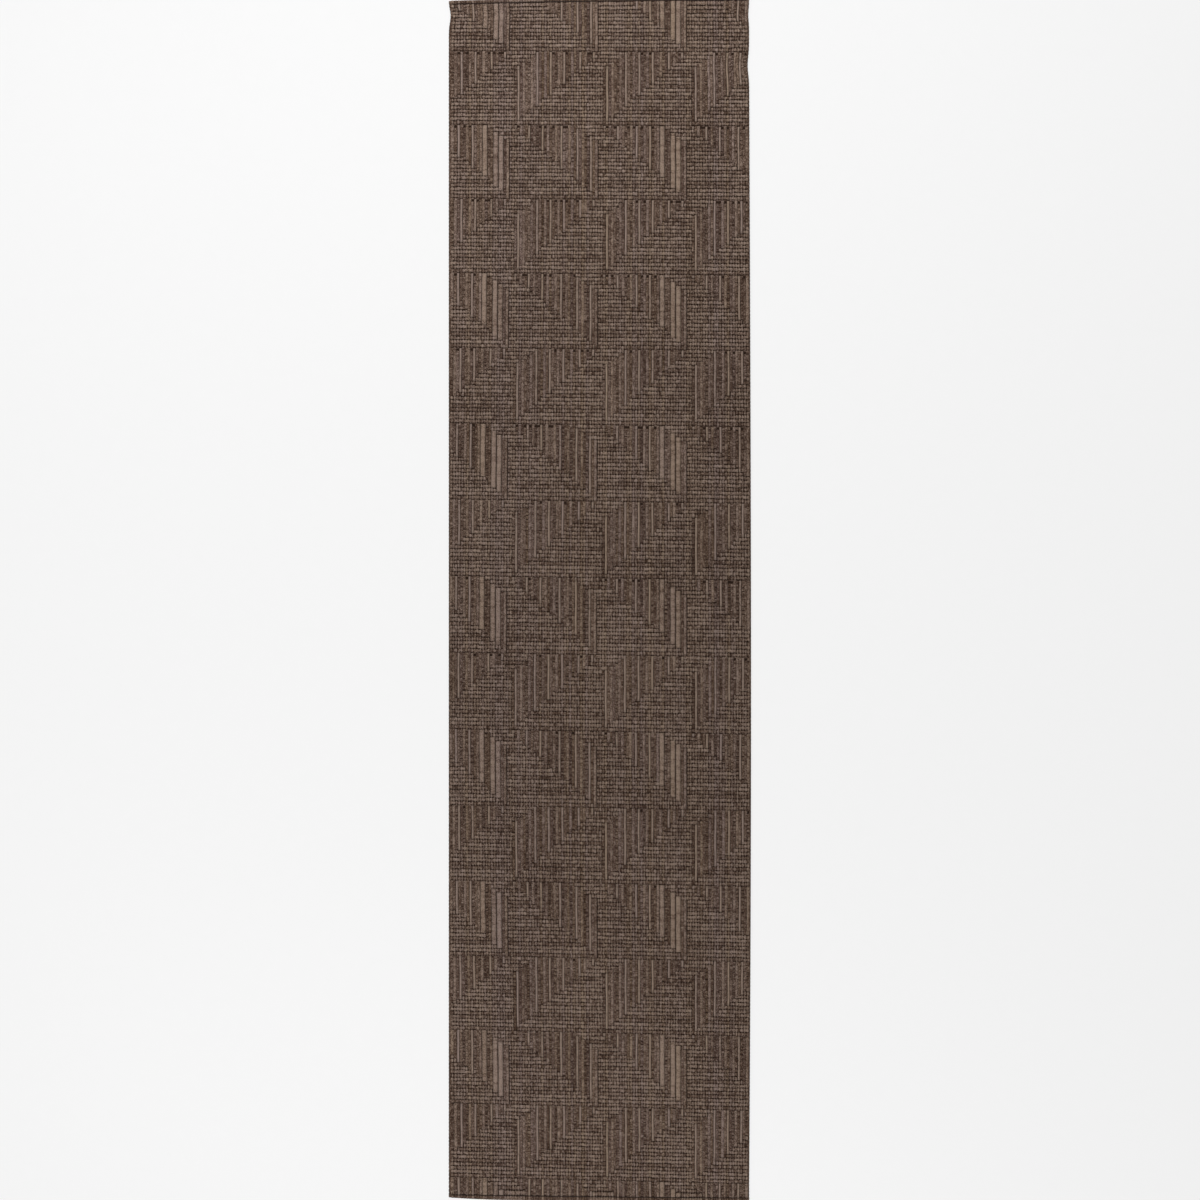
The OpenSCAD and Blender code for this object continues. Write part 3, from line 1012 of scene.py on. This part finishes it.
edge_yarn = yarn_material("edge_yarn", ALONG_X)
thread = thread_material()
core = core_material()
for side, word in ((-1, "left"), (1, "right")):
    finish(selvedge(side), edge_yarn, "ground_yarn", "selvedge_binding_" + word)
    finish(edge_cord(side), core, "core_yarn", "selvedge_cord_" + word)
for side, word in ((1, "head"), (-1, "foot")):
    finish(hem_roll(side), warp_yarn, "ground_yarn", "hem_fold_" + word)
    finish(hem_turning(side), warp_yarn, "ground_yarn", "hem_web_" + word)
    sew("needle_thread_", word, NEEDLE_Z, NEEDLE_RISE, "needle_stitches_", thread)
    sew("bobbin_thread_", word, BOBBIN_Z, BOBBIN_RISE, "bobbin_stitches_", thread)
finish(corner_tacks(), thread, "thread", "corner_tacks")
finish(label(), label_material(), "label", "care_label")
finish(label_thread(), thread, "thread", "label_stitches")


# ---------------------------------------------------------------------------
# Floor, light and camera
# ---------------------------------------------------------------------------
FLOOR_REACH, FLOOR_Z = 60.0, -0.0002
FLOOR_GLOW = 0.77

# The world's strength falls from the first to the second number as the view
# rises over this range of heights.
SKY_HEIGHTS, SKY_STRENGTHS = (0.10, 0.30), (0.81, 0.285)

SOFTBOX_SIZE = (3.7, 1.0)
HEAD_LIGHT = {"place": (-0.45, 2.08, 1.93), "aim": (0, 0.7, 0), "power": 67}
FOOT_LIGHT = {"place": (-0.45, -1.9, 1.56), "aim": (0, -0.9, 0), "power": 31.5}

CAMERA_X, CAMERA_Y = 0.0008, -0.0034
SEEN_SHARE = 0.996


def add_floor():
    """A wide pale floor that gives off part of its own brightness."""
    reach = FLOOR_REACH
    corners = [(-reach, -reach, 0), (reach, -reach, 0), (reach, reach, 0), (-reach, reach, 0)]
    mesh = bpy.data.meshes.new("floor")
    mesh.from_pydata(corners, [], [(0, 1, 2, 3)])
    plane = bpy.data.objects.new("floor", mesh)
    plane.location.z = FLOOR_Z
    bpy.context.scene.collection.objects.link(plane)
    made = Nodes("floor_paint")
    grain = made.noise(made.place(), 30, 2, 0.5)
    made.surface(made.mix(made.remap(grain, 0, 1), *FLOOR), 0.9)
    made.shader.inputs["Specular IOR Level"].default_value = 0.1
    made.shader.inputs["Emission Color"].default_value = WHITE
    made.shader.inputs["Emission Strength"].default_value = FLOOR_GLOW
    mesh.materials.append(made.material)


def add_world():
    """A white world, brighter near the horizon."""
    world = bpy.data.worlds.new("studio")
    bpy.context.scene.world = world
    world.use_nodes = True
    sky = world.node_tree
    background = sky.nodes["Background"]
    background.inputs["Color"].default_value = WHITE
    way = sky.nodes.new("ShaderNodeTexCoord")
    split = sky.nodes.new("ShaderNodeSeparateXYZ")
    fade = sky.nodes.new("ShaderNodeMapRange")
    fade.inputs["From Min"].default_value, fade.inputs["From Max"].default_value = SKY_HEIGHTS
    fade.inputs["To Min"].default_value, fade.inputs["To Max"].default_value = SKY_STRENGTHS
    sky.links.new(way.outputs["Generated"], split.inputs[0])
    sky.links.new(split.outputs["Z"], fade.inputs["Value"])
    sky.links.new(fade.outputs["Result"], background.inputs["Strength"])


def add_softbox(name, place, aim, power):
    """A long soft light across the room, at one end of the rug."""
    light = bpy.data.lights.new(name, "AREA")
    light.shape = "RECTANGLE"
    light.size, light.size_y = SOFTBOX_SIZE
    light.energy = power
    lamp = bpy.data.objects.new(name, light)
    lamp.location = place
    lamp.rotation_euler = (Vector(aim) - Vector(place)).to_track_quat("-Z", "Y").to_euler()
    lamp.visible_camera = False
    bpy.context.scene.collection.objects.link(lamp)


def add_camera():
    """Straight above, with the ends just past the edges of the picture."""
    data = bpy.data.cameras.new("camera")
    data.lens = 135
    data.sensor_width = 36
    data.clip_end = 200
    made = bpy.data.objects.new("camera", data)
    distance = LENGTH * SEEN_SHARE * data.lens / data.sensor_width
    made.location = (CAMERA_X, CAMERA_Y, THICK + distance)
    bpy.context.scene.collection.objects.link(made)
    bpy.context.scene.camera = made


add_floor()
add_world()
add_softbox("head_softbox", **HEAD_LIGHT)
add_softbox("foot_softbox", **FOOT_LIGHT)
add_camera()
bpy.context.scene.view_settings.view_transform = "Standard"
